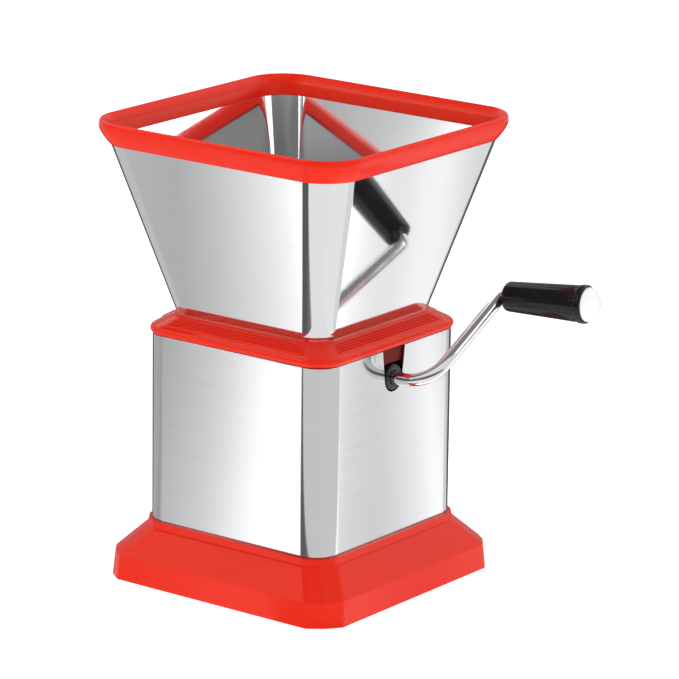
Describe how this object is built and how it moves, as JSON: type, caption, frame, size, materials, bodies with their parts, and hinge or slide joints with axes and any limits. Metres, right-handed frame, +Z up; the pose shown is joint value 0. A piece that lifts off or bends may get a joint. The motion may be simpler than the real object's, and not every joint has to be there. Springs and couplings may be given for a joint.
{
  "type": "hand-cranked vegetable cutter",
  "caption": "Hand-cranked cutter: a flared square steel hopper on a ribbed collar, a toothed rotor turned by a bent crank, and a square steel container in a flared base.",
  "frame": {"origin": "centre of the base's underside, on the table top", "axes": "+Z up; the shaft runs along X and the crank is on the +X side"},
  "size_m": [0.2078, 0.1504, 0.2254],
  "materials": {
    "red_plastic": "glossy moulded",
    "dark_red_plastic": "glossy moulded",
    "black_plastic": "glossy moulded",
    "white_plastic": "glossy moulded",
    "tray_plastic": "satin moulded",
    "brushed_steel": "brushed",
    "hopper_steel": "polished",
    "bright_steel": "polished",
    "blade_steel": "ground",
    "fastener_steel": "plated"
  },
  "bodies": {
    "container": {"base_skirt": "red_plastic", "container_sleeve": "brushed_steel", "container_floor": "tray_plastic", "base_screws": "fastener_steel"},
    "cutter_head": {"hopper": "hopper_steel", "hopper_rim": "red_plastic", "collar": "red_plastic", "cutter_cradle": "dark_red_plastic", "cradle_screws": "fastener_steel", "front_blade_comb": "blade_steel", "back_blade_comb": "blade_steel", "comb_rivets": "fastener_steel", "crank_side_bush": "black_plastic", "far_side_bush": "black_plastic"},
    "crank": {"crank_rod": "bright_steel", "rotor_hub": "dark_red_plastic", "hub_drive_pin": "fastener_steel", "rotor_star_1": "blade_steel", "rotor_star_2": "blade_steel", "rotor_star_3": "blade_steel", "rotor_star_4": "blade_steel", "rotor_star_5": "blade_steel", "rotor_star_6": "blade_steel", "rotor_star_7": "blade_steel", "rotor_star_8": "blade_steel", "rotor_star_9": "blade_steel", "thrust_washer": "fastener_steel", "shaft_washer": "fastener_steel", "shaft_push_nut": "fastener_steel", "grip_push_nut": "fastener_steel"},
    "grip": {"handle_grip": "black_plastic", "grip_end_cap": "white_plastic"}
  },
  "joints": [
    {"name": "head_lift", "type": "slide", "parent": "container", "child": "cutter_head", "axis": [0, 0, 1], "range_m": [0, 0.05]},
    {"name": "crank_turn", "type": "hinge", "parent": "cutter_head", "child": "crank", "pos_m": [0, 0, 0.1065], "axis": [1, 0, 0], "continuous": true},
    {"name": "grip_spin", "type": "hinge", "parent": "crank", "child": "grip", "pos_m": [0.0806, 0.05057, 0.14061], "axis": [0.9945, 0.0867, 0.0585], "continuous": true}
  ]
}
